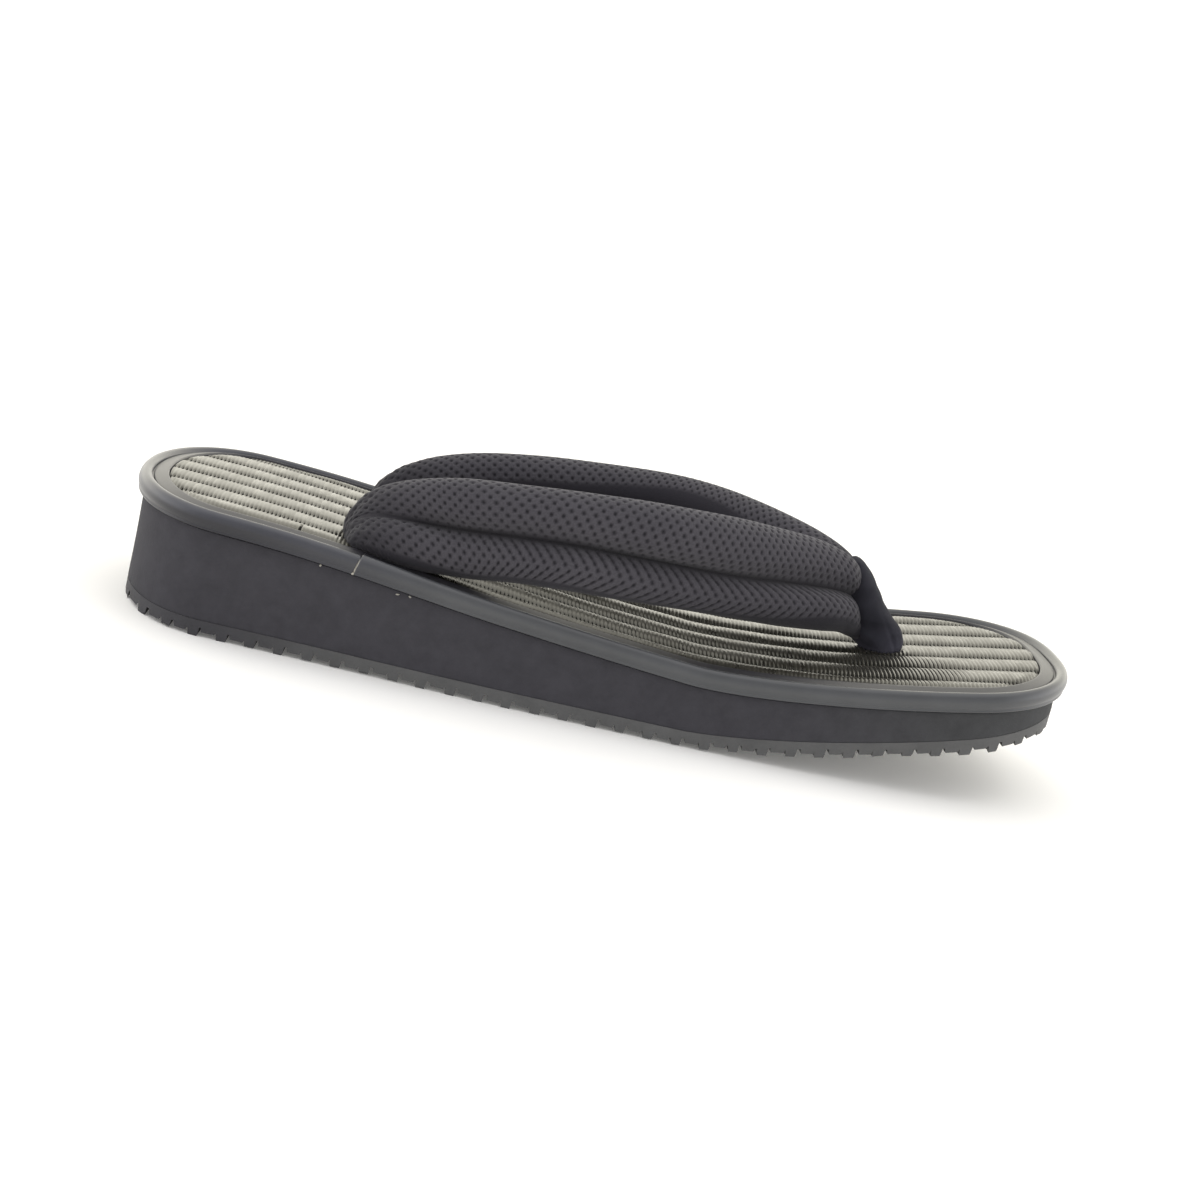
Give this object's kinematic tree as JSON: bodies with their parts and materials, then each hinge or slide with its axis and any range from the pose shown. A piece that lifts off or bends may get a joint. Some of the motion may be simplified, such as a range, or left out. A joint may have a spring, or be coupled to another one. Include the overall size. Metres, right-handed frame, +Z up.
{
  "type": "setta sandal",
  "caption": "Low wedge setta sandal with a ribbed woven-look mat, a soft moulded rim, a notched rubber outsole and a padded mesh thong held by a velvet toe post.",
  "frame": {"origin": "on the floor under the middle of the sandal's length and width", "axes": "+X from heel to toe, +Y to the wearer's left, +Z up from the floor"},
  "size_m": [0.26, 0.1012, 0.0591],
  "materials": {
    "outsole": "matt moulded rubber",
    "midsole": "matt closed-cell foam",
    "rim": "satin soft vinyl",
    "footbed_mat": "glossy woven-look vinyl",
    "straps": "open warp-knit mesh over padding",
    "toe_post": "short-pile velvet"
  },
  "bodies": {
    "root": {"outsole": "outsole", "midsole": "midsole", "rim": "rim", "footbed_mat": "footbed_mat", "straps": "straps", "toe_post": "toe_post"}
  },
  "joints": []
}
